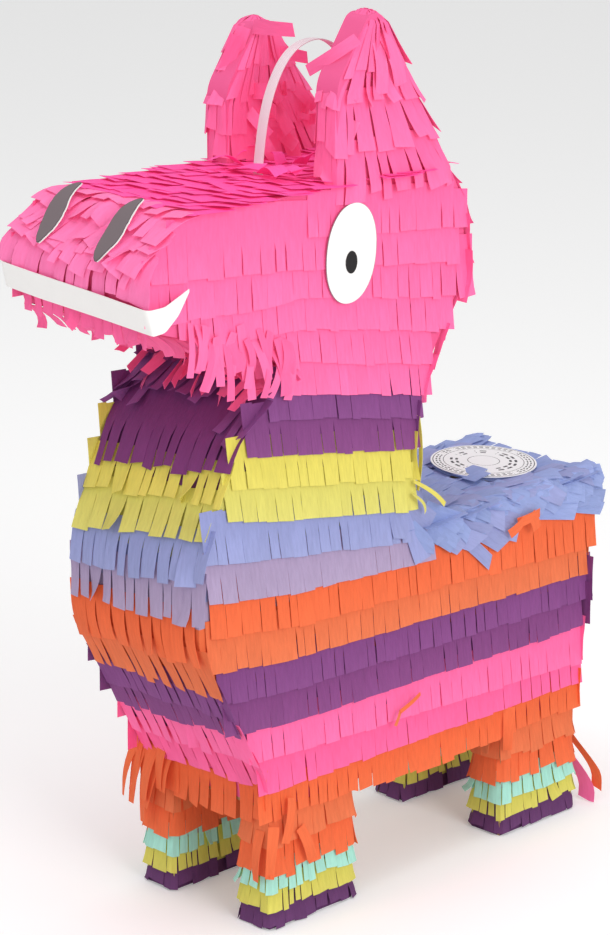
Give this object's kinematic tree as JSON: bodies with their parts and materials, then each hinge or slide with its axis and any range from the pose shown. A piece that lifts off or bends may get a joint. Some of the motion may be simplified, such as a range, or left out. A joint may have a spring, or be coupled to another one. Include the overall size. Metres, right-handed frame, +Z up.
{
  "type": "party pinata",
  "caption": "Cardboard pony pinata covered in rows of cut tissue, with box legs and ears, a hanging ribbon loop, a fill flap under a round label and a loose streamer tail.",
  "frame": {"origin": "on the ground plane under the middle of the object's bounding box", "axes": "+Z up, the head looks along -Y, +X is the animal's left side"},
  "size_m": [0.1222, 0.4128, 0.5716],
  "materials": {
    "cardboard": "plain corrugated board",
    "tissue_pink": "crinkled tissue",
    "tissue_purple": "crinkled tissue",
    "tissue_yellow": "crinkled tissue",
    "tissue_blue": "crinkled tissue",
    "tissue_orange": "crinkled tissue",
    "tissue_mint": "crinkled tissue",
    "card_white": "smooth card",
    "card_black": "smooth card",
    "card_grey": "smooth card",
    "label_white": "printed label",
    "ribbon_white": "woven ribbon"
  },
  "bodies": {
    "root": {"back_panel": "cardboard", "belly_edge_fringe_orange": "tissue_orange", "belly_panel": "cardboard", "body_fringe_orange": "tissue_orange", "body_fringe_pink": "tissue_pink", "body_fringe_purple": "tissue_purple", "chest_panel": "cardboard", "chin_panel": "cardboard", "crown_panel": "cardboard", "cuff_fringe_mint": "tissue_mint", "cuff_fringe_yellow": "tissue_yellow", "ear_fringe_left": "tissue_pink", "ear_fringe_right": "tissue_pink", "ear_shell_left": "cardboard", "ear_shell_right": "cardboard", "eye_left": "card_white", "eye_right": "card_white", "hanger_plate": "cardboard", "head_fringe_pink": "tissue_pink", "hoof_fringe_purple_front_left": "tissue_purple", "hoof_fringe_purple_front_right": "tissue_purple", "hoof_fringe_purple_hind_left": "tissue_purple", "hoof_fringe_purple_hind_right": "tissue_purple", "leg_channel_front_left": "cardboard", "leg_channel_front_right": "cardboard", "leg_channel_hind_left": "cardboard", "leg_channel_hind_right": "cardboard", "leg_fringe_orange_front_left": "tissue_orange", "leg_fringe_orange_front_right": "tissue_orange", "leg_fringe_orange_hind_left": "tissue_orange", "leg_fringe_orange_hind_right": "tissue_orange", "mouth_band": "card_white", "muzzle_panel": "cardboard", "nape_panel": "cardboard", "neck_fringe_purple": "tissue_purple", "neck_fringe_yellow": "tissue_yellow", "nostril_left": "card_grey", "nostril_right": "card_grey", "pupil_left": "card_black", "pupil_right": "card_black", "ribbon_ends": "ribbon_white", "rump_panel": "cardboard", "saddle_fringe_blue": "tissue_blue", "shoulder_fringe_blue": "tissue_blue", "side_panel_left": "cardboard", "side_panel_right": "cardboard", "sole_front_left": "cardboard", "sole_front_right": "cardboard", "sole_hind_left": "cardboard", "sole_hind_right": "cardboard", "tail_tab": "tissue_pink", "throat_panel": "cardboard"},
    "fill_flap": {"fill_flap": "cardboard", "flap_tissue": "tissue_blue", "fill_label": "label_white"},
    "ribbon": {"ribbon_loop": "ribbon_white"},
    "tail": {"tail_streamer_pink": "tissue_pink", "tail_streamer_orange": "tissue_orange"}
  },
  "joints": [
    {"name": "fill_flap_hinge", "type": "hinge", "parent": "root", "child": "fill_flap", "pos_m": [0, 0.19467, 0.239], "axis": [-1, 0, 0], "range_deg": [0, 110]},
    {"name": "ribbon_swing", "type": "hinge", "parent": "root", "child": "ribbon", "pos_m": [0, -0.05382, 0.4743], "axis": [0, 1, 0], "range_deg": [-25, 25], "stiffness_Nm_per_rad": 0.005},
    {"name": "tail_swing", "type": "hinge", "parent": "root", "child": "tail", "pos_m": [0, 0.20517, 0.16], "axis": [1, 0, 0], "range_deg": [0, 80]}
  ]
}
